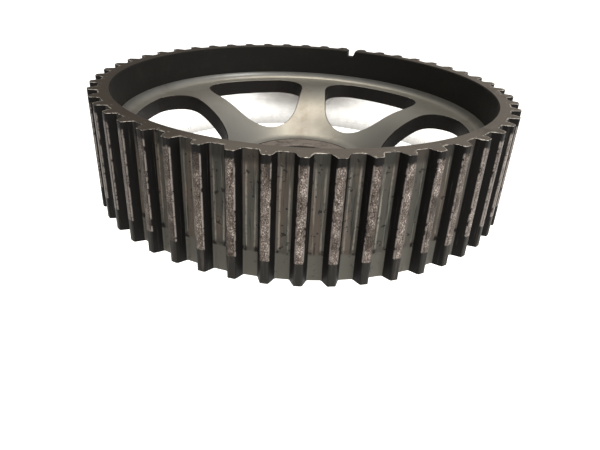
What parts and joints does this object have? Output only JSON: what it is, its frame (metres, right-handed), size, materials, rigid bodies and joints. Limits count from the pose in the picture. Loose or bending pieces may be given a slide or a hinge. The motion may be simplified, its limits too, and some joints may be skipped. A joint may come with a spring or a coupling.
{
  "type": "timing belt pulley",
  "caption": "Toothed timing belt pulley with a dished, windowed web, clamped to its shaft by a centre bolt through a recessed hub.",
  "frame": {"origin": "centre of the hub's rear seating face, on the axis of rotation", "axes": "+Z along the axis of rotation, out of the pulley's front; +Y along the middle of one spoke"},
  "size_m": [0.126, 0.1258, 0.051],
  "materials": {
    "ring_steel": "dark sintered steel, worn bright and pitted where the belt runs",
    "web_steel": "satin grey",
    "hub_steel": "turned, oil-darkened",
    "pin_steel": "ground",
    "washer_steel": "hardened and tempered, grey",
    "bolt_steel": "black oxide, worn on the corners"
  },
  "bodies": {
    "wheel": {"toothed_ring": "ring_steel", "web_disc": "web_steel", "hub": "hub_steel", "locating_dowel": "pin_steel"},
    "washer": {"clamp_washer": "washer_steel"},
    "bolt": {"centre_bolt": "bolt_steel"}
  },
  "joints": [
    {"name": "bolt_lift", "type": "slide", "parent": "wheel", "child": "washer", "axis": [0, 0, 1], "range_m": [0, 0.0125]},
    {"name": "bolt_turn", "type": "hinge", "parent": "washer", "child": "bolt", "pos_m": [0, 0, 0.012], "axis": [0, 0, 1], "range_deg": [0, 3600]}
  ],
  "couplings": [
    {"joint": "bolt_turn", "follows": "bolt_lift", "rad_per_m": 5026.5}
  ]
}
